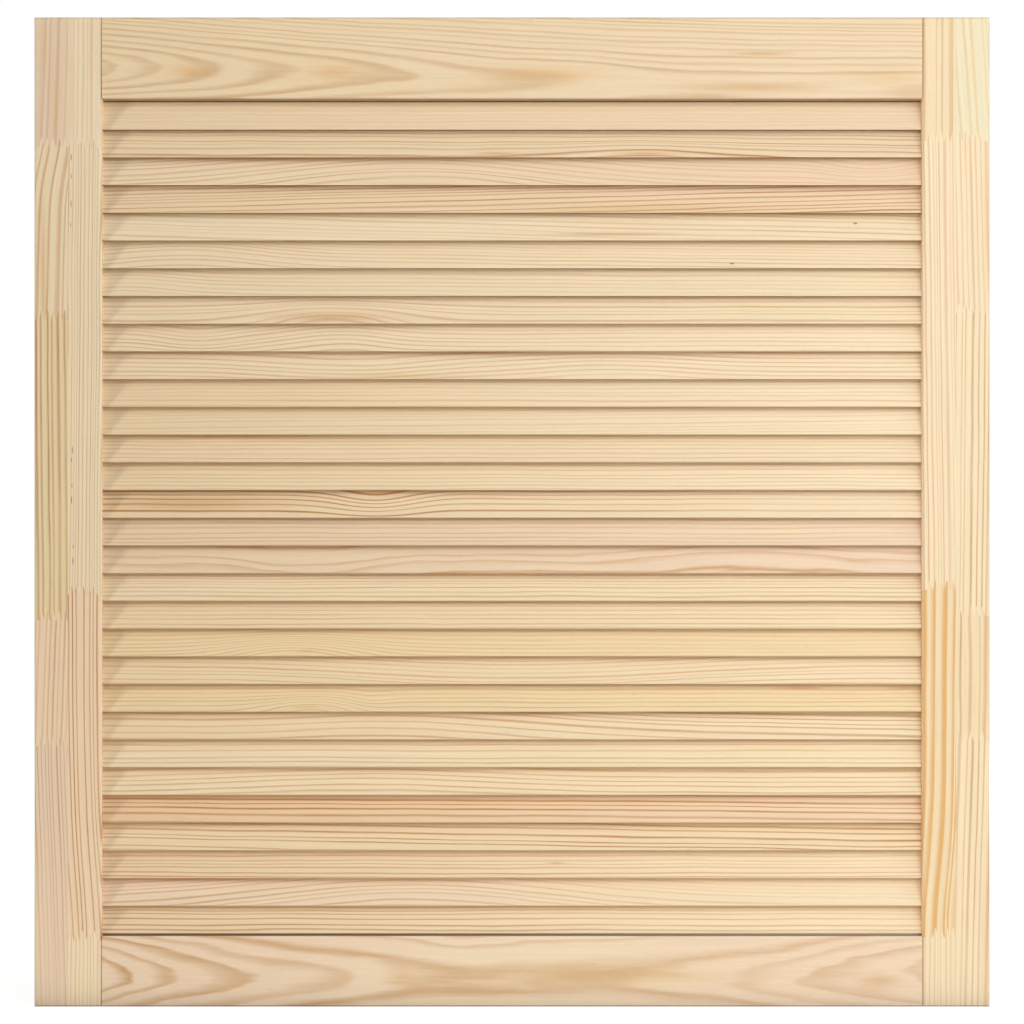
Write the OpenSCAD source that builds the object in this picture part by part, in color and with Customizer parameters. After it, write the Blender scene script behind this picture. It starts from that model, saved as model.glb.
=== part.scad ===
// Louvred cabinet door of solid pine. Two stiles and two rails make the frame, with two
// glued dowels in each corner joint, and fixed slats sit in slots routed into the stiles.
// Each stile is glued up from two strips, and each strip from finger-jointed blocks.
// The origin is the middle of the bottom edge, halfway through the thickness.
// +Z is up, +X is to the right seen from the front, and the front looks along -Y.

/* [Door] */
// Width of the door over both stiles
door_width = 594; // [294:1:900]
// Height of the door
door_height = 615; // [575:1:900]
// Thickness of the frame
door_thickness = 21; // [18:0.5:30]

/* [Frame] */
// Width of a stile's face
stile_width = 42; // [36:1:70]
// Width of the inner strip of a stile, the one that holds the slats
inner_strip_width = 21; // [14:0.5:30]
// Height of the top rail's face
top_rail_height = 51; // [40:1:80]
// Height of the bottom rail's face
bottom_rail_height = 44; // [38:1:80]
// Radius along the edges of the stiles and the top rail that face the opening
inner_round = 2; // [0.5:0.25:3]
// Radius along the top edges of the bottom rail
sill_round = 0.6; // [0.2:0.1:3]
// Radius along the outer upright edges of the stiles
outer_round = 1.5; // [0.5:0.25:4]
// Chamfer along the top and bottom edges of the door
end_chamfer = 0.8; // [0.2:0.1:3]

/* [Slats] */
// Number of slats
slat_count = 30; // [20:1:32]
// Thickness of a slat
slat_thickness = 4.8; // [3:0.1:5.5]
// Lean of a slat, away from upright and towards the back
slat_tilt = 20; // [17:0.5:30]
// Radius on the long edges of a slat
slat_round = 0.7; // [0.2:0.1:1.5]
// Depth of a slat's front lip behind the front of the frame
lip_setback = 2.2; // [1:0.1:5]
// Height by which the top of a slat passes the lip of the slat above
slat_overlap = 1.15; // [0.2:0.05:5]
// Gap between the lowest lip and the bottom rail
sill_gap = 1; // [0.2:0.1:6]
// Gap between the highest slat and the top rail
head_gap = 0.35; // [0.1:0.05:6]
// Depth of the slots in the stiles
slot_depth = 8; // [4:0.5:12]
// Clearance all round a slat in its slot
slot_clearance = 0.1; // [0.05:0.05:0.15]
// Gap between a slat's end and the bottom of its slot
slat_end_gap = 0.5; // [0.2:0.1:3]

/* [Finger joints] */
// Heights of the lower joints in the left stile's outer strip
left_outer_joints = [165, 243, 430]; // [60:1:490]
// Heights of the lower joints in the right stile's outer strip
right_outer_joints = [168, 246, 434]; // [60:1:490]
// Number of slats below the slat at the middle joint of an inner strip
slats_below_middle_joint = 12; // [8:1:14]
// Number of slats above the slat at the top joint, which runs across both strips
slats_above_top_joint = 1; // [0:1:3]
// Heights of the left inner strip's three joints above the lips of the slats there
left_inner_rises = [-1, 7, 9]; // [-2:1:14]
// Heights of the right inner strip's three joints above the lips of the slats there
right_inner_rises = [1, 10, 13]; // [-2:1:14]
// Length of a finger
finger_length = 6; // [2:0.5:10]
// Distance from one finger to the next
finger_pitch = 3.6; // [2:0.1:6]
// Width of the blunt tip of a finger
finger_tip = 0.5; // [0.2:0.1:1]
// Width of the straight shoulder at the strip's outer edge
finger_shoulder = 2.8; // [0.5:0.1:6]

/* [Dowels] */
// Diameter of a dowel
dowel_diameter = 8; // [5:0.5:10]
// Length of a dowel, half in the rail and half in the stile
dowel_length = 40; // [20:1:60]
// Distance between the two dowels of a corner
dowel_spacing = 24; // [14:1:26]
// Chamfer on a dowel's ends
dowel_chamfer = 1; // [0.3:0.1:2]
// Clearance all round a dowel in its bore
dowel_clearance = 0.1; // [0.05:0.05:0.3]
// Gap between a dowel's end and the bottom of its bore
dowel_end_gap = 0.5; // [0.2:0.1:3]

/* [Hidden] */
$fn = 32;
outer_strip_width = stile_width - inner_strip_width;
opening_width = door_width - 2 * stile_width;
opening_height = door_height - top_rail_height - bottom_rail_height;
top_rail_bottom = door_height - top_rail_height;
front_y = -door_thickness / 2;

// Slats share the opening evenly, from lip to lip
slat_pitch = (opening_height - sill_gap - head_gap - slat_overlap) / slat_count;
slat_rise = slat_pitch + slat_overlap;
slat_lean = slat_rise * tan(slat_tilt);
slat_level_cut = slat_thickness / cos(slat_tilt);
slat_length = opening_width + 2 * (slot_depth - slat_end_gap);
slot_span = opening_width + 2 * slot_depth;

// Slats at the joints of the inner strips, bottom to top
inner_joint_slats = [slat_count, slat_count - slats_below_middle_joint, slats_above_top_joint + 1];

// Blocks, bottom to top, lie between these heights
left_inner_ends = concat([0], inner_joints(left_inner_rises), [door_height]);
right_inner_ends = concat([0], inner_joints(right_inner_rises), [door_height]);
left_outer_ends = concat([0], left_outer_joints, [left_inner_ends[3], door_height]);
right_outer_ends = concat([0], right_outer_joints, [right_inner_ends[3], door_height]);

bore_radius = dowel_diameter / 2 + dowel_clearance;
bore_span = dowel_length + 2 * dowel_end_gap;
dowel_heights = [
    door_height - top_rail_height / 2 + dowel_spacing / 2,
    door_height - top_rail_height / 2 - dowel_spacing / 2,
    bottom_rail_height / 2 + dowel_spacing / 2,
    bottom_rail_height / 2 - dowel_spacing / 2
];
dowel_places = ["top_upper", "top_lower", "bottom_upper", "bottom_lower"];
left = -1;
right = 1;

honey_pine = [0.92, 0.80, 0.62];
pink_pine = [0.91, 0.77, 0.62];
cream_pine = [0.94, 0.85, 0.68];
amber_pine = [0.88, 0.72, 0.50];
beech = [0.83, 0.66, 0.46];
slat_tones = [honey_pine, pink_pine, cream_pine, honey_pine, amber_pine];
block_tones = [cream_pine, amber_pine, honey_pine, pink_pine, cream_pine];

function side_name(side) = side == left ? "left" : "right";
function slat_name(k) = str("louvre_slat_", k < 10 ? "0" : "", k);
function block_name(side, strip, i) = str(side_name(side), "_stile_", strip, "_block_", i);
function dowel_name(side, i) = str(side_name(side), "_dowel_", dowel_places[i]);

// Height of the lip of slat k, counted from the top
function lip_height(k) = bottom_rail_height + sill_gap + (slat_count - k) * slat_pitch;

// Heights of an inner strip's joints, each at its slat
function inner_joints(rises) = [for (i = [0 : 2]) lip_height(inner_joint_slats[i]) + rises[i]];

// Corners of a slat's section, as [y, z], with its lip at height 0
slat_corners = [
    [front_y + lip_setback, 0],
    [front_y + lip_setback + slat_level_cut, 0],
    [front_y + lip_setback + slat_level_cut + slat_lean, slat_rise],
    [front_y + lip_setback + slat_lean, slat_rise]
];

function unit(v) = v / norm(v);
function reversed(list) = [for (i = [len(list) - 1 : -1 : 0]) list[i]];

// Centre of the round of radius r that touches both sides of corner i
function round_centre(corners, i, r) =
    let (
        n = len(corners),
        before = unit(corners[(i + n - 1) % n] - corners[i]),
        after = unit(corners[(i + 1) % n] - corners[i]),
        half_angle = acos(before * after) / 2
    )
    corners[i] + unit(before + after) * r / sin(half_angle);

// Outline of a convex shape with every corner rounded by r, grown outwards by grow
module rounded_outline(corners, r, grow = 0) {
    n = len(corners);
    centres = [for (i = [0 : n - 1]) round_centre(corners, i, r)];
    polygon(centres);
    for (i = [0 : n - 1]) {
        from = centres[i];
        to = centres[(i + 1) % n];
        along = unit(to - from);
        outwards = [along.y, -along.x] * (r + grow);
        polygon([from, from + outwards, to + outwards, to]);
        translate(from) circle(r = r + grow);
    }
}

// Extrudes an outline given as [y, z] along X, centred on the door
module along_x(length) {
    translate([-length / 2, 0, 0]) rotate([90, 0, 90]) linear_extrude(height = length) children();
}

// Bar with a slat's section, grown by a clearance for its slots
module slat_bar(k, length, grow = 0) {
    translate([0, 0, lip_height(k)])
        along_x(length) rounded_outline(slat_corners, slat_round, grow);
}

module louvre_slat(k) {
    color(slat_tones[k % len(slat_tones)]) slat_bar(k, slat_length);
}

// Slots for the slats that pass through the heights from low to high
module slat_slots(low, high) {
    for (k = [1 : slat_count]) {
        if (lip_height(k) < high + finger_length && lip_height(k) + slat_rise > low - finger_length) {
            slat_bar(k, slot_span, slot_clearance);
        }
    }
}

// Bore of a corner joint, across the line where the rail meets the stile
module dowel_bore(side, height) {
    translate([side * opening_width / 2 - bore_span / 2, 0, height])
        rotate([0, 90, 0]) cylinder(r = bore_radius, h = bore_span);
}

// Wedges that cut the chamfer along the door's top and bottom edges
module end_chamfer_cuts() {
    for (height = [0, door_height]) {
        for (face = [front_y, -front_y]) {
            translate([0, face, height]) rotate([45, 0, 0])
                cube([2 * door_width, end_chamfer * sqrt(2), end_chamfer * sqrt(2)], center = true);
        }
    }
}

// Plan of a strip: its outer edge is at x = 0 with both corners rounded, its glued edge is square
module strip_plan(width, r) {
    translate([r, front_y]) square([width - r, door_thickness]);
    translate([0, front_y + r]) square([2 * r, door_thickness - 2 * r]);
    for (y = [front_y + r, -front_y - r]) {
        translate([r, y]) circle(r = r);
    }
}

// Joint line across a strip at a height: straight at the door's ends, fingers elsewhere
function joint_line(width, height) =
    height == 0 || height == door_height ? [[0, height], [width, height]] :
    let (
        count = floor((width - finger_shoulder) / finger_pitch),
        root = height - finger_length / 2,
        tip = height + finger_length / 2,
        flat = finger_tip / 2
    )
    concat(
        [[0, root]],
        [for (i = [0 : count - 1]) let (x = finger_shoulder + i * finger_pitch) each [
            [x + flat, root],
            [x + finger_pitch / 2 - flat, tip],
            [x + finger_pitch / 2 + flat, tip],
            [x + finger_pitch - flat, root]
        ]],
        [[width, root]]
    );

// Front view of a block between two joint heights
module block_face(width, low, high) {
    polygon(concat(joint_line(width, low), reversed(joint_line(width, high))));
}

// One block of a strip, with its outer edge at edge_x and its width along inwards, 1 or -1
module strip_block(side, edge_x, inwards, width, r, low, high) {
    difference() {
        translate([edge_x, 0, 0]) mirror([inwards < 0 ? 1 : 0, 0, 0]) intersection() {
            linear_extrude(height = door_height) strip_plan(width, r);
            rotate([90, 0, 0]) linear_extrude(height = 2 * door_thickness, center = true)
                block_face(width, low, high);
        }
        if (low == 0 || high == door_height) {
            end_chamfer_cuts();
        }
        slat_slots(low, high);
        for (height = dowel_heights) {
            if (abs(height - (low + high) / 2) < (high - low + finger_length) / 2 + bore_radius) {
                dowel_bore(side, height);
            }
        }
    }
}

module outer_block(side, i) {
    ends = side == left ? left_outer_ends : right_outer_ends;
    color(block_tones[i % len(block_tones)])
        strip_block(side, side * door_width / 2, -side, outer_strip_width, outer_round,
            ends[i - 1], ends[i]);
}

module inner_block(side, i) {
    ends = side == left ? left_inner_ends : right_inner_ends;
    color(block_tones[(i + 2) % len(block_tones)])
        strip_block(side, side * opening_width / 2, side, inner_strip_width, inner_round,
            ends[i - 1], ends[i]);
}

// Section of a rail as [y, z], with the corners on its opening side rounded
module rail_section(height, r, opens_up) {
    translate([front_y, opens_up ? 0 : r]) square([door_thickness, height - r]);
    translate([front_y + r, opens_up ? height - 2 * r : 0])
        square([door_thickness - 2 * r, 2 * r]);
    for (y = [front_y + r, -front_y - r]) {
        translate([y, opens_up ? height - r : r]) circle(r = r);
    }
}

module rail(base, height, r, opens_up) {
    difference() {
        translate([0, 0, base]) along_x(opening_width) rail_section(height, r, opens_up);
        end_chamfer_cuts();
        for (side = [left, right]) {
            for (bore_height = dowel_heights) {
                if (bore_height > base && bore_height < base + height) {
                    dowel_bore(side, bore_height);
                }
            }
        }
    }
}

module top_rail() {
    color(honey_pine) rail(top_rail_bottom, top_rail_height, inner_round, false);
}

module bottom_rail() {
    color(honey_pine) rail(0, bottom_rail_height, sill_round, true);
}

module corner_dowel(side, i) {
    radius = dowel_diameter / 2;
    color(beech)
        translate([side * opening_width / 2 - dowel_length / 2, 0, dowel_heights[i]])
            rotate([0, 90, 0]) rotate_extrude() polygon([
                [0, 0],
                [radius - dowel_chamfer, 0],
                [radius, dowel_chamfer],
                [radius, dowel_length - dowel_chamfer],
                [radius - dowel_chamfer, dowel_length],
                [0, dowel_length]
            ]);
}

top_rail();
bottom_rail();
for (k = [1 : slat_count]) {
    louvre_slat(k);
}
for (i = [1 : len(left_outer_ends) - 1]) {
    outer_block(left, i);
}
for (i = [1 : len(left_inner_ends) - 1]) {
    inner_block(left, i);
}
for (i = [1 : len(right_outer_ends) - 1]) {
    outer_block(right, i);
}
for (i = [1 : len(right_inner_ends) - 1]) {
    inner_block(right, i);
}
for (side = [left, right]) {
    for (i = [0 : 3]) {
        corner_dowel(side, i);
    }
}
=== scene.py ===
import math

import bpy
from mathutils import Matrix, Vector


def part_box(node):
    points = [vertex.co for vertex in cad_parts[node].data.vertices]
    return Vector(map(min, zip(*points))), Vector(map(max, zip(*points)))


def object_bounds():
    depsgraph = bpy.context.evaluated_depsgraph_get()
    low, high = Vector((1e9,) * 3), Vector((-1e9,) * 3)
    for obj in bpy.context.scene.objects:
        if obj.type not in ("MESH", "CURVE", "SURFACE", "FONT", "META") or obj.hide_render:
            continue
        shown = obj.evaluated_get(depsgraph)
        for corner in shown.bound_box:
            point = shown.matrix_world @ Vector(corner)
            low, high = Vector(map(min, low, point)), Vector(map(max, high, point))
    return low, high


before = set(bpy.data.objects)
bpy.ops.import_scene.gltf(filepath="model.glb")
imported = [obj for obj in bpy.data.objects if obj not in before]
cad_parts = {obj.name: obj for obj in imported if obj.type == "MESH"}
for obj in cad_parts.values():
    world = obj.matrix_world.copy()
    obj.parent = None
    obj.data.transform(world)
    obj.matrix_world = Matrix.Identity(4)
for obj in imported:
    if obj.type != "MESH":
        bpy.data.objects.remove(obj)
cad_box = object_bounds()


# Bottom rail
# One solid pine board, planed on all sides. It butts between the stiles, held by two
# glued dowels at each end. It is flat-sawn, so its year rings run out in wavy tongues.

mm_per_metre = 1000.0

# Wood tones by name, as the eye sees them (0 to 255 for red, green and blue)
tones = {
    "ivory": (246, 221, 185),
    "shell": (239, 209, 179),
    "sand": (228, 190, 136),
    "tan": (211, 164, 110),
    "hazel": (205, 156, 105),
    "umber": (112, 74, 42),
}


def linear(tone):
    """A tone's colour as light: each part of 255 raised by the display's curve."""
    lift = 0.055
    power = 2.4
    parts = [part / 255 for part in tones[tone]]
    return [((part + lift) / (1 + lift)) ** power for part in parts] + [1.0]


class Field:
    """A number that shader nodes work out at every point of the wood, written as arithmetic."""

    def __init__(self, tree, socket):
        self.tree = tree
        self.socket = socket

    def math(self, operation, *others, first=None):
        node = self.tree.nodes.new("ShaderNodeMath")
        node.operation = operation
        for slot, value in zip(node.inputs, (self if first is None else first, *others)):
            if isinstance(value, Field):
                self.tree.links.new(value.socket, slot)
            else:
                slot.default_value = value
        return Field(self.tree, node.outputs[0])

    def __add__(self, other):
        return self.math("ADD", other)

    def __sub__(self, other):
        return self.math("SUBTRACT", other)

    def __rsub__(self, other):
        return self.math("SUBTRACT", self, first=other)

    def __mul__(self, other):
        return self.math("MULTIPLY", other)

    def __truediv__(self, other):
        return self.math("DIVIDE", other)

    def __pow__(self, other):
        return self.math("POWER", other)

    def squared(self):
        return self * self

    def rising(self, low, high):
        """Goes smoothly from 0 at low to 1 at high."""
        node = self.tree.nodes.new("ShaderNodeMapRange")
        node.interpolation_type = "SMOOTHSTEP"
        self.tree.links.new(self.socket, node.inputs["Value"])
        node.inputs["From Min"].default_value = low
        node.inputs["From Max"].default_value = high
        return Field(self.tree, node.outputs["Result"])

    def between(self, low, high):
        """A number from 0 to 1, stretched to lie between low and high."""
        return self * (high - low) + low

    def centred(self):
        """A number from 0 to 1, moved to lie between -0.5 and 0.5."""
        return self - 0.5


def add_node(tree, kind, links=(), **settings):
    """Adds a shader node with its settings, and links what each named input takes."""
    node = tree.nodes.new("ShaderNode" + kind)
    for name, value in settings.items():
        setattr(node, name, value)
    for name, source in dict(links).items():
        tree.links.new(source, node.inputs[name])
    return node


def combined(x, y, z):
    """A vector with these three fields."""
    node = x.tree.nodes.new("ShaderNodeCombineXYZ")
    for slot, part in zip(node.inputs, (x, y, z)):
        x.tree.links.new(part.socket, slot)
    return node.outputs[0]


def separated(tree, vector):
    """The three fields of a vector."""
    node = add_node(tree, "SeparateXYZ", {"Vector": vector})
    return [Field(tree, socket) for socket in node.outputs]


def cloud(place, length, width, seed, detail=2.0, roughness=0.5):
    """Noise from 0 to 1 whose patches are length by width mm, stretched along the grain.

    Another seed moves the place on by some patches, and so gives other noise.
    """
    along, across, deep = place
    move_along = seed * 3.7
    move_deep = seed * 1.3
    stretched = combined(along / length + move_along, across / width, deep / width + move_deep)
    node = add_node(along.tree, "TexNoise", {"Vector": stretched}, noise_dimensions="3D")
    node.inputs["Scale"].default_value = 1.0
    node.inputs["Detail"].default_value = detail
    node.inputs["Roughness"].default_value = roughness
    return Field(along.tree, node.outputs["Fac"])


def blended(first, second, share):
    """The colour between two colours, at a share from 0 to 1 that is a field.

    A Mix node has its two colours at inputs 6 and 7, and the colour it makes at output 2.
    """
    node = add_node(share.tree, "Mix", data_type="RGBA")
    share.tree.links.new(share.socket, node.inputs["Factor"])
    for slot, colour in ((node.inputs[6], first), (node.inputs[7], second)):
        if isinstance(colour, bpy.types.NodeSocket):
            share.tree.links.new(colour, slot)
        else:
            slot.default_value = colour
    return node.outputs[2]


def mound(along, across, at_along, at_across, length, width):
    """A soft hill from 1 at its place down to 0: exp(-(along / length)^2 - (across / width)^2)."""
    away = ((along - at_along) / length).squared() + ((across - at_across) / width).squared()
    return (away * -1.0).math("EXPONENT")


def pair(value):
    """One value stands for both ends of a board, two values for its two ends."""
    return value if isinstance(value, tuple) else (value, value)


def flat_place(tree, position, piece, grain):
    """Where a point lies along the grain, across the face and deep in the board, in mm.

    It is measured from the piece's middle. The reach comes with it: how far either end
    of the board is from there.
    """
    low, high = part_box(piece)
    middle = (low + high) / 2
    reach = (high - low)[0 if grain == "X" else 2] / 2 * mm_per_metre
    centring = add_node(tree, "Mapping", {"Vector": position}, vector_type="POINT")
    centring.inputs["Scale"].default_value = (mm_per_metre, mm_per_metre, mm_per_metre)
    centring.inputs["Location"].default_value = -middle * mm_per_metre
    x, y, z = separated(tree, centring.outputs[0])
    return ((x, z, y) if grain == "X" else (z, x, y)), reach


def bent_place(flat, reach, bulges, bow, slope, climb):
    """The flat place, bent and turned the way the grain is.

    A bulge is (at along, at across, length, width, rise): a mound that lifts the lines
    round it by its rise. Towards both ends the grain bends away from the front by the
    bow times (along / reach)^2. Then it turns by the slope in the face, and by the climb
    from the face into the wood, both in degrees.
    """
    along, across, deep = flat
    lifted = across
    for at_along, at_across, length, width, rise in bulges:
        lifted = lifted - mound(along, across, at_along, at_across, length, width) * rise
    bowed = deep + (along / reach).squared() * bow
    board = combined(along, lifted, bowed)
    turning = add_node(along.tree, "Mapping", {"Vector": board}, vector_type="POINT")
    turning.inputs["Rotation"].default_value = (0, math.radians(climb), math.radians(-slope))
    return separated(along.tree, turning.outputs[0])


def late_wood(place, ring, pith, wander, share, seed):
    """How much dark late wood there is at a place, from 0 to 1.

    The distance from the pith is sqrt(across^2 + deep^2), swayed by slow and quick noise
    as far as the wander says. It counts the years: distance / ring width, with good and
    bad times to grow. In each year the late wood begins when its share of the year does,
    rises to its darkest and drops back. Chance draws some years more strongly.
    """
    along, across, deep = place
    tree = along.tree
    sway = cloud(place, length=110, width=22, seed=seed).centred() * (2 * wander)
    ripple = cloud(place, length=24, width=5, seed=seed + 11).centred() * (0.25 * wander)
    distance = ((across - pith[0]).squared() + (deep - pith[1]).squared()) ** 0.5
    distance = distance + sway + ripple

    growth_length = 9.0
    growth_years = 2.0
    slow = (distance / growth_length + seed).socket
    growth = add_node(tree, "TexNoise", {"W": slow}, noise_dimensions="1D")
    growth.inputs["Scale"].default_value = 1.0
    years = distance / ring + Field(tree, growth.outputs["Fac"]) * growth_years

    season = years.math("FRACT")
    darkest = 0.80
    line = season.rising(1 - share, darkest) * (1.0 - season.rising(darkest, 1.0))

    this_year = (years.math("FLOOR") + seed).socket
    chance = add_node(tree, "TexWhiteNoise", {"W": this_year}, noise_dimensions="1D")
    faintest = 0.55
    return line * Field(tree, chance.outputs["Value"]).between(faintest, 1.0)


def pine(piece, grain, early, late, bold=0.5, ring=2.4, pith=(-60, 30), slope=0, climb=0,
         bow=0, wander=1.0, share=0.5, seed=0, bulges=(), flushes=(), specks=(), painted_gap_shade=None):
    """Gives a piece its own planed pine, cut from a log, with lengths in millimetres.

    The grain runs along X or Z. Early and late are the tones of pale and dark wood, and
    bold says how strongly the dark lines are drawn. Early and bold may be a pair, from
    the left or lower end to the other. Bulges, bow, slope and climb are what bent_place
    takes, and ring, pith, wander and share what late_wood takes.
    A flush is (tone, at along, at across, length, width): a patch of another tone.
    A speck is (at along, at across, length, width): a small spot of dark resin.
    Fibres and resin canals are noise stretched along the grain, and cut ends are darker.
    A face that points up (1) or down (-1) gets painted shade, turned towards umber by the share
    that follows.
    This paints the shade in the gaps beside the slats.
    """
    material = bpy.data.materials.new("pine_" + piece)
    material.use_nodes = True
    tree = material.node_tree
    tree.nodes.clear()
    coordinates = add_node(tree, "TexCoord")

    flat, reach = flat_place(tree, coordinates.outputs["Object"], piece, grain)
    flat_along, flat_across = flat[:2]
    place = bent_place(flat, reach, bulges, bow, slope, climb)
    run = flat_along.rising(-reach, reach)

    faint_patch = 0.5
    bold_patch = 1.5
    patches = cloud(place, length=60, width=9, seed=seed + 5).between(faint_patch, bold_patch)
    line = late_wood(place, ring, pith, wander, share, seed)
    line = line * run.between(*pair(bold)) * patches

    flush_cover = 0.6
    early_near, early_far = pair(early)
    colour = blended(linear(early_near), linear(early_far), run)
    for tone, at_along, at_across, length, width in flushes:
        there = mound(flat_along, flat_across, at_along, at_across, length, width)
        colour = blended(colour, linear(tone), there * flush_cover)
    colour = blended(colour, linear(late), line)

    fibre = cloud(place, length=9, width=0.45, seed=seed + 2, detail=3.0, roughness=0.6)
    streak = cloud(place, length=70, width=1.6, seed=seed + 3)
    canal_rim = 0.74
    canal_core = 0.80
    canal = cloud(place, length=5, width=0.28, seed=seed + 7, detail=0.0)
    canal = canal.rising(canal_rim, canal_core)
    fibre_contrast = 0.10
    streak_contrast = 0.14
    canal_darkness = 0.10
    shade = fibre.centred() * fibre_contrast + streak.centred() * streak_contrast + 1.0
    shade = shade * (1.0 - canal * canal_darkness)

    # A face counts as an end or an edge the more squarely it points that way
    aside = 0.5
    square_on = 0.9
    end_darkness = 0.3
    facings = separated(tree, coordinates.outputs["Normal"])
    end = facings[0 if grain == "X" else 2].squared().rising(aside, square_on)
    shade = shade * (1.0 - end * end_darkness)
    shaded = add_node(tree, "VectorMath", {0: colour}, operation="SCALE")
    tree.links.new(shade.socket, shaded.inputs["Scale"])
    colour = shaded.outputs[0]

    speck_rim = 0.2
    speck_core = 0.7
    speck_cover = 0.8
    for at_along, at_across, length, width in specks:
        there = mound(flat_along, flat_across, at_along, at_across, length, width)
        dark = there.rising(speck_rim, speck_core) * speck_cover
        colour = blended(colour, linear("umber"), dark)
    # Painted shade: faces that point up or down turn towards umber, for the shade in the gaps
    # beside the slats
    if painted_gap_shade:
        direction, darkness = painted_gap_shade
        painted_shade_mask = (facings[2] * direction).rising(aside, square_on)
        colour = blended(colour, linear("umber"), painted_shade_mask * darkness)

    line_height = 0.5
    fibre_height = 0.5
    canal_depth = 0.4
    height = line * line_height + fibre * fibre_height - canal * canal_depth
    bump_strength = 0.35
    bump_height = 0.12
    bump = add_node(tree, "Bump", {"Height": height.socket})
    bump.inputs["Strength"].default_value = bump_strength
    bump.inputs["Distance"].default_value = bump_height / mm_per_metre

    dullness = 0.62
    line_polish = 0.12
    reflection = 0.25
    surface = add_node(tree, "BsdfPrincipled", {"Base Color": colour, "Normal": bump.outputs[0]})
    tree.links.new((dullness - line * line_polish).socket, surface.inputs["Roughness"])
    surface.inputs["Specular IOR Level"].default_value = reflection
    output = add_node(tree, "OutputMaterial", {"Surface": surface.outputs[0]})
    output.target = "ALL"

    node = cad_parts[piece]
    node.data.materials.clear()
    node.data.materials.append(material)


# Its top edge, which faces the lowest slat, gets painted shade for the gap there
pine("bottom_rail", "X", "shell", "hazel", bold=(0.8, 0.45), ring=3.0, pith=(-3, 42), climb=0.3,
     bow=9.5, wander=2.4, share=0.6, seed=1, painted_gap_shade=(1, 0.62),
     flushes=[("ivory", 10, 0, 110, 30), ("tan", 228, -6, 12, 4), ("sand", 68, -3, 60, 5),
              ("sand", -68, -4, 10, 4)])


# Top rail
# One solid pine board like the bottom rail, a little higher. Its rings fall to the right
# and close in pointed tongues near the lower edge, where the saw ran along a year's growth.

tones.update({
    "honey": (240, 212, 172),
    "buff": (236, 208, 172),
    "gold": (227, 174, 110),
})

# Its lower edge, which faces the top slat, gets painted shade for the gap there
pine("top_rail", "X", ("honey", "buff"), "hazel", bold=0.55, ring=2.2, pith=(-13, 20), slope=-1.7,
     climb=1.3, bow=5.5, wander=1.4, share=0.65, seed=2, painted_gap_shade=(-1, 0.5),
     flushes=[("gold", -110, -9, 16, 5), ("gold", -200, -8, 12, 4), ("gold", 20, -10, 30, 4),
              ("tan", 150, -18, 45, 3), ("tan", 155, 3, 18, 1.5), ("sand", 235, -12, 20, 4)])


# Stiles
# Each stile is glued up from two strips, and each strip from short finger-jointed blocks
# of different boards, so colour and grain change at every joint. The grain runs upright.

tones.update({
    "cream": (243, 217, 180),
    "pale": (236, 219, 183),
    "peach": (245, 213, 178),
    "straw": (241, 212, 167),
    "rose": (236, 199, 158),
    "clay": (213, 156, 108),
    "russet": (195, 138, 86),
    "bark": (187, 144, 98),
})


def block(name, early, late, **grain):
    """The pine of one block of a stile, whose grain runs upright."""
    pine(name, "Z", early, late, **grain)


block("left_stile_outer_block_1", "shell", "russet", bold=(0.35, 0.85), ring=2.0, slope=-2, seed=11)
block("left_stile_outer_block_2", "peach", "russet", bold=0.65, ring=2.4, slope=2, seed=12)
block("left_stile_outer_block_3", "straw", "bark", bold=(0.8, 1.1), ring=3.0, share=0.65,
      slope=-0.5, seed=13)
block("left_stile_outer_block_4", "cream", "clay", bold=0.95, ring=4.0, slope=1.5, seed=14,
      bulges=[(60, 0, 28, 40, 6)], flushes=[("gold", -30, -5, 40, 1.5)])
block("left_stile_outer_block_5", "shell", "hazel", bold=0.5, ring=4.5, slope=2, seed=15,
      flushes=[("rose", 20, -4, 16, 4), ("rose", -15, 2, 25, 4)])
block("left_stile_inner_block_1", "ivory", "hazel", bold=0.6, ring=2.0, seed=16)
block("left_stile_inner_block_2", "peach", "russet", bold=1.05, ring=2.6, slope=-0.3, seed=17,
      bulges=[(-115, 0, 60, 40, 6)])
block("left_stile_inner_block_3", "ivory", "hazel", bold=0.85, ring=1.6, slope=0.5, seed=18,
      specks=[(130, -8.5, 2.5, 0.25), (118, -8.2, 1.5, 0.2), (101, -8.6, 2.5, 0.25),
              (88, -8.8, 1.5, 0.2), (-52, -7.8, 2.5, 0.25), (-58, -8.2, 1.5, 0.2),
              (-74, -8.0, 1.5, 0.2), (-83, -8.3, 2.5, 0.25), (-112, -7.2, 1.5, 0.25),
              (-121, -7.4, 2.5, 0.3)])
block("left_stile_inner_block_4", "ivory", "clay", bold=0.4, ring=3.0, seed=19,
      flushes=[("rose", 19, 4, 35, 1.6), ("rose", 0, -9, 50, 1.5)])

block("right_stile_outer_block_1", "cream", "hazel", bold=(0.6, 0.9), ring=3.4, slope=1.5, seed=21,
      flushes=[("rose", -40, 9, 60, 2.5)])
block("right_stile_outer_block_2", "honey", "hazel", bold=0.9, ring=4.5, wander=2, seed=22)
block("right_stile_outer_block_3", "cream", "hazel", bold=0.95, ring=2.9, slope=0.6, seed=23)
block("right_stile_outer_block_4", "cream", "clay", bold=0.6, ring=2.8, slope=-1.5, seed=24,
      flushes=[("rose", 0, 9, 50, 2.5)])
block("right_stile_outer_block_5", "pale", "sand", bold=0.7, ring=6.0, slope=-4, seed=25)
block("right_stile_inner_block_1", "cream", "hazel", bold=0.55, ring=2.4, seed=26)
block("right_stile_inner_block_2", "honey", "gold", bold=1.6, ring=4.2, share=0.9, slope=0.5,
      seed=27, bulges=[(-108, 0, 50, 30, -5)], flushes=[("rose", 0, -10, 90, 1.5)])
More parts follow.
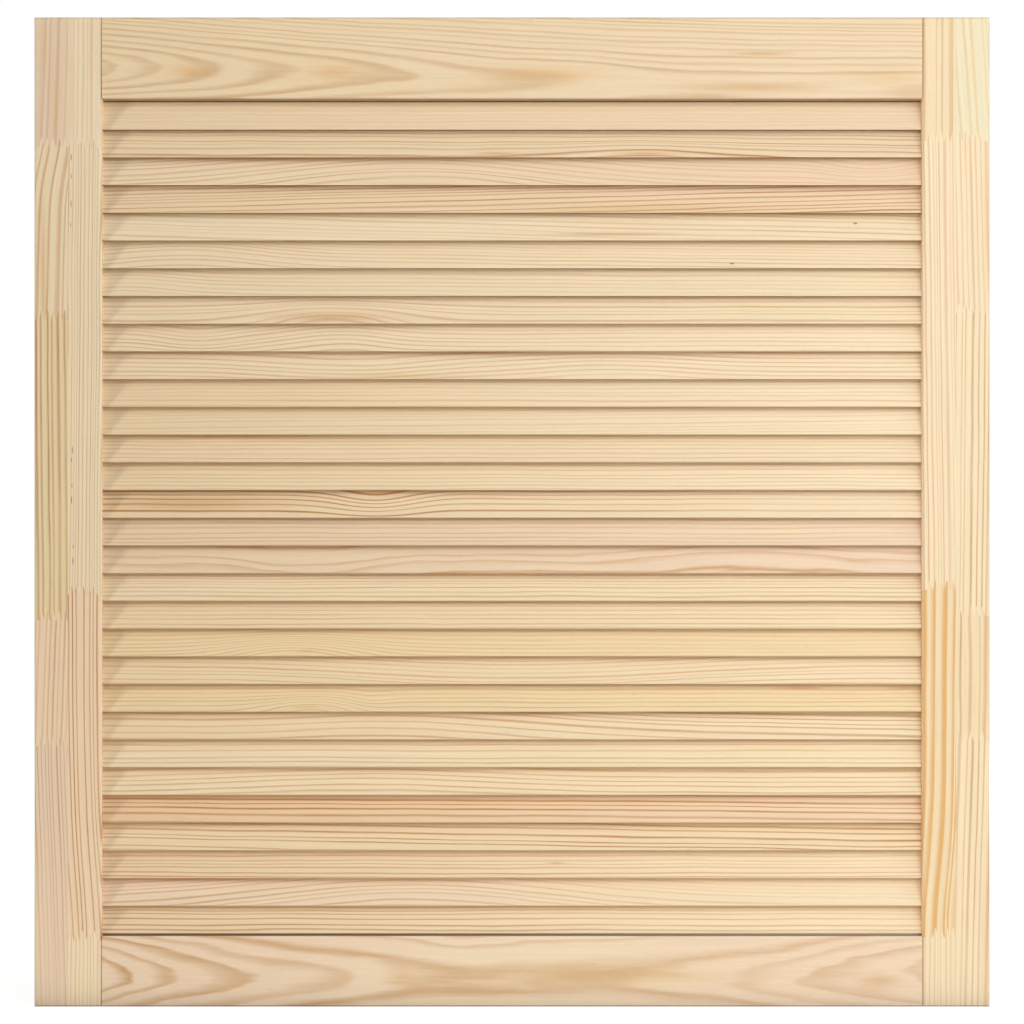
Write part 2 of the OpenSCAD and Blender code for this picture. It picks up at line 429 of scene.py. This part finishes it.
block("right_stile_inner_block_3", "cream", "clay", bold=0.7, ring=2.2, slope=-0.8, seed=28)
block("right_stile_inner_block_4", "honey", "hazel", bold=0.65, ring=4.2, seed=29,
      flushes=[("rose", -10, -9, 40, 1.5)])


# Slats
# Thirty planed pine slats from many boards, some with bold or pink grain. They lean back, with
# their ends in slots of the stiles. The faces under each lip carry painted shade, darkest at the
# top.

tones["blush"] = (240, 207, 172)

slat_count = sum(name.startswith("louvre_slat_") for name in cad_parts)
# Painted shade under the lips, strongest on the top slat and fading to none at the bottom
darkest_painted_shade = 0.85
slat_seeds = 30


def slat(number, early, late, **grain):
    """The pine of one slat, 1 at the top, whose grain runs from left to right."""
    piece = f"louvre_slat_{number:02d}"
    # Painted shade on the faces under the lip, weaker for lower slats
    painted_gap_shade = (-1, darkest_painted_shade * (1 - number / slat_count))
    pine(piece, "X", early, late, seed=slat_seeds + number, painted_gap_shade=painted_gap_shade, **grain)


slat(1, ("honey", "buff"), "clay", bold=0.25, ring=1.7)
slat(2, ("honey", "buff"), "russet", bold=(0.65, 1.0), ring=2.1, slope=-0.3, wander=1.4,
     bulges=[(86, -8, 60, 10, 5)],
     flushes=[("clay", 84, -6.5, 16, 1.2), ("clay", -10, -6.5, 12, 1)])
slat(3, ("cream", "blush"), "clay", bold=(0.9, 0.5), ring=2.0,
     bulges=[(-60, 0, 110, 40, 12), (223, 4, 30, 12, -5)], flushes=[("clay", -150, 8, 60, 1.5)])
slat(4, ("honey", "blush"), "russet", bold=(0.8, 1.2), ring=1.9, slope=1.2,
     flushes=[("sand", 90, -6, 90, 2.5)])
slat(5, ("ivory", "cream"), "tan", bold=(0.5, 0.7), ring=2.0, slope=-1.2,
     flushes=[("clay", 60, -5, 35, 1.2)], specks=[(214, 2, 1.3, 0.5)])
slat(6, "cream", "tan", bold=0.6, ring=1.6, slope=-0.6, bulges=[(-200, 0, 60, 30, 5)],
     specks=[(137, -6, 1.5, 0.5)])
slat(7, "cream", "tan", bold=(0.6, 0.4), ring=1.9, slope=-0.3, bulges=[(-240, 0, 40, 30, 3)])
slat(8, "cream", "tan", bold=0.8, ring=2.2, bulges=[(-112, -6, 48, 11, 9)],
     flushes=[("clay", -112, -5, 34, 3)])
slat(9, ("cream", "ivory"), "tan", bold=(0.75, 0.5), ring=1.8,
     bulges=[(-195, 0, 30, 15, -4), (-105, 0, 35, 15, 4)])
slat(10, ("cream", "ivory"), "clay", bold=0.65, ring=2.0,
     bulges=[(-100, 0, 60, 20, -4), (60, 0, 60, 20, 3)],
     flushes=[("clay", -20, 8, 45, 1.5), ("sand", -70, -7, 35, 1.5)])
slat(11, ("honey", "ivory"), "tan", bold=0.5, ring=1.8)
slat(12, ("honey", "ivory"), "tan", bold=0.4, ring=1.6, slope=0.5)
slat(13, ("honey", "cream"), "clay", bold=0.6, ring=1.7, flushes=[("clay", -180, 7, 50, 1)])
slat(14, ("honey", "ivory"), "tan", bold=0.6, ring=1.7)
slat(15, ("honey", "cream"), "russet", bold=(1.5, 0.4), ring=2.6, bulges=[(-85, 2, 28, 12, -5)],
     flushes=[("clay", -70, 8, 25, 1.5), ("tan", -200, 0, 60, 5)])
slat(16, ("buff", "shell"), "tan", bold=(0.8, 0.6), ring=1.9, flushes=[("cream", 180, 0, 90, 3)])
slat(17, ("buff", "shell"), "clay", bold=0.8, ring=4.2, wander=5.0,
     bulges=[(150, 0, 70, 30, 6), (-130, 0, 60, 30, -5)])
slat(18, "cream", "tan", bold=0.9, ring=1.6)
slat(19, ("honey", "cream"), "tan", bold=0.7, ring=1.8)
slat(20, "straw", "tan", bold=(0.7, 0.4), ring=1.7, bulges=[(-135, -8, 45, 12, 9)],
     flushes=[("sand", -128, -6, 8, 1.2)])
slat(21, ("honey", "cream"), "clay", bold=0.7, ring=1.8, bulges=[(0, 0, 120, 30, -6)])
slat(22, "straw", "tan", bold=0.7, ring=1.9, bulges=[(-125, -9, 30, 8, 8), (-90, -4, 15, 8, -2)],
     flushes=[("clay", 180, 5.5, 14, 1), ("clay", 245, 5.5, 10, 1), ("sand", -128, -6, 8, 1.2)])
slat(23, ("honey", "cream"), "russet", bold=(0.6, 0.85), ring=2.4, slope=-1,
     bulges=[(-60, 0, 90, 20, 5)], flushes=[("clay", 10, 7, 25, 1.2)])
slat(24, "cream", "tan", bold=0.8, ring=2.4)
slat(25, "cream", "tan", bold=0.85, ring=2.2, bulges=[(-90, 0, 110, 30, 4)])
slat(26, ("rose", "blush"), "russet", bold=(1.15, 0.95), ring=2.4, slope=-0.3)
slat(27, "honey", "russet", bold=(0.8, 1.05), ring=2.4, slope=-0.7)
slat(28, ("buff", "cream"), "clay", bold=(1.2, 0.7), ring=1.8, flushes=[("tan", 28, 0, 5, 0.7)])
slat(29, ("shell", "cream"), "hazel", bold=(0.8, 0.3), ring=1.8, bulges=[(-60, 0, 130, 40, 12)],
     flushes=[("clay", -200, 7, 50, 1)])
slat(30, ("buff", "cream"), "hazel", bold=(1.25, 0.6), ring=2.0)


# Corner dowels
# Turned beech pins, 8 mm thick, glued half into the rail and half into the stile.
# They are hidden in the finished door, and beech is plainer and browner than pine.

for side in ("left", "right"):
    for corner in ("top_upper", "top_lower", "bottom_upper", "bottom_lower"):
        pine(f"{side}_dowel_{corner}", "X", "sand", "clay", bold=0.25, ring=1.2, pith=(-30, 10),
             seed=70)


# Studio
# A white floor and white surroundings. The light comes from the right: a soft lamp near the
# camera and two beside it, with a weak one above, one far to the left and two behind the
# door. The camera stands square in front of the door.

low, high = cad_box
aim = Vector(((low[0] + high[0]) / 2, low[1], (low[2] + high[2]) / 2))

# Round the door the paper glows a little less, so that the door's shadow shows on it
paper_size = 6.0
paper_grey = 0.3
shadow_width = 0.55
shadow_depth = 0.45
shadow_strength = 0.18

bpy.ops.mesh.primitive_plane_add(size=paper_size)
floor = bpy.context.object
floor.name = "studio_floor"
white = bpy.data.materials.new("white_paper")
white.use_nodes = True
tree = white.node_tree
tree.nodes.clear()
paper = add_node(tree, "BsdfDiffuse")
paper.inputs["Color"].default_value = (paper_grey, paper_grey, paper_grey, 1)
light_path = add_node(tree, "LightPath")
right, back = separated(tree, add_node(tree, "TexCoord").outputs["Object"])[:2]
near = mound(right, back, 0, 0, shadow_width, shadow_depth)
seen = Field(tree, light_path.outputs["Is Camera Ray"]) * (1.0 - near * shadow_strength)
glow = add_node(tree, "Emission", {"Strength": seen.socket})
both = add_node(tree, "AddShader", {0: paper.outputs[0], 1: glow.outputs[0]})
add_node(tree, "OutputMaterial", {"Surface": both.outputs[0]})
floor.data.materials.append(white)

# The camera sees plain white, and the door gets only a weak, warm light from all around
warm_colour = (1.0, 0.85, 0.62, 1)
warm_strength = 0.12

world = bpy.data.worlds.new("white_surroundings")
bpy.context.scene.world = world
world.use_nodes = True
tree = world.node_tree
tree.nodes.clear()
light_path = add_node(tree, "LightPath")
direct = Field(tree, light_path.outputs["Is Camera Ray"]).math(
    "MAXIMUM", Field(tree, light_path.outputs["Is Transmission Ray"]))
warm = add_node(tree, "Background")
warm.inputs["Color"].default_value = warm_colour
warm.inputs["Strength"].default_value = warm_strength
plain = add_node(tree, "Background")
plain.inputs["Color"].default_value = (1, 1, 1, 1)
plain.inputs["Strength"].default_value = 1.0
either = add_node(tree, "MixShader", {0: direct.socket, 1: warm.outputs[0], 2: plain.outputs[0]})
add_node(tree, "OutputWorld", {"Surface": either.outputs[0]})


def soft_lamp(name, turn, rise, distance, width, height, light, colour):
    """A rectangular lamp that looks at the middle of the door's front.

    It is turned from straight ahead, to the right if above 0, and raised, in degrees. The
    light that reaches the middle is power / (pi * distance squared), so the power follows
    from the light wanted there.
    """
    turn, rise = math.radians(turn), math.radians(rise)
    level = math.cos(rise)
    away = Vector((math.sin(turn) * level, -math.cos(turn) * level, math.sin(rise)))
    data = bpy.data.lights.new(name, "AREA")
    data.shape = "RECTANGLE"
    data.size = width
    data.size_y = height
    data.energy = light * math.pi * distance ** 2
    data.color = colour
    lamp = bpy.data.objects.new(name, data)
    lamp.location = aim + away * distance
    lamp.rotation_euler = (-away).to_track_quat("-Z", "Y").to_euler()
    bpy.context.scene.collection.objects.link(lamp)


soft_lamp("key_lamp", turn=22, rise=10, distance=0.95, width=0.5, height=1.1,
          light=1.49, colour=(0.865, 0.93, 0.975))
soft_lamp("right_lamp", turn=42, rise=18, distance=1.9, width=1.0, height=0.8,
          light=1.12, colour=(0.855, 0.92, 0.955))
soft_lamp("side_lamp", turn=74, rise=5, distance=1.2, width=0.3, height=0.8,
          light=0.6, colour=(0.85, 0.92, 0.95))
soft_lamp("top_lamp", turn=0, rise=55, distance=0.8, width=1.0, height=0.3,
          light=0.44, colour=(0.90, 0.95, 1.0))
soft_lamp("far_lamp", turn=-68, rise=8, distance=3.0, width=0.35, height=0.8,
          light=1.16, colour=(0.95, 0.97, 0.97))
soft_lamp("back_lamp", turn=160, rise=12, distance=2.2, width=1.2, height=0.5,
          light=0.95, colour=(0.95, 0.97, 0.98))
soft_lamp("far_back_lamp", turn=-145, rise=12, distance=2.2, width=1.0, height=0.5,
          light=0.4, colour=(0.95, 0.97, 0.98))

# The floor right in front of the door shines back at its lower half
shine_ahead = 0.21
shine_lift = 0.001
shine_width = 1.2
shine_depth = 0.4
shine_power = 0.85

shine = bpy.data.lights.new("floor_glow", "AREA")
shine.shape = "RECTANGLE"
shine.size = shine_width
shine.size_y = shine_depth
shine.energy = shine_power
shine.color = (0.9, 0.92, 0.85)
lamp = bpy.data.objects.new("floor_glow", shine)
lamp.location = (0, low[1] - shine_ahead, shine_lift)
lamp.rotation_euler = (math.radians(180), 0, 0)
lamp.visible_camera = False
bpy.context.scene.collection.objects.link(lamp)

camera_distance = 2.0
picture_width = 0.6365
sensor_width = 36.0

camera_data = bpy.data.cameras.new("camera")
camera_data.sensor_width = sensor_width
camera_data.lens = sensor_width * camera_distance / picture_width
camera = bpy.data.objects.new("camera", camera_data)
camera.location = aim + Vector((0, -camera_distance, 0))
camera.rotation_euler = (math.radians(90), 0, 0)
bpy.context.scene.collection.objects.link(camera)
bpy.context.scene.camera = camera
bpy.context.scene.view_settings.view_transform = "Standard"
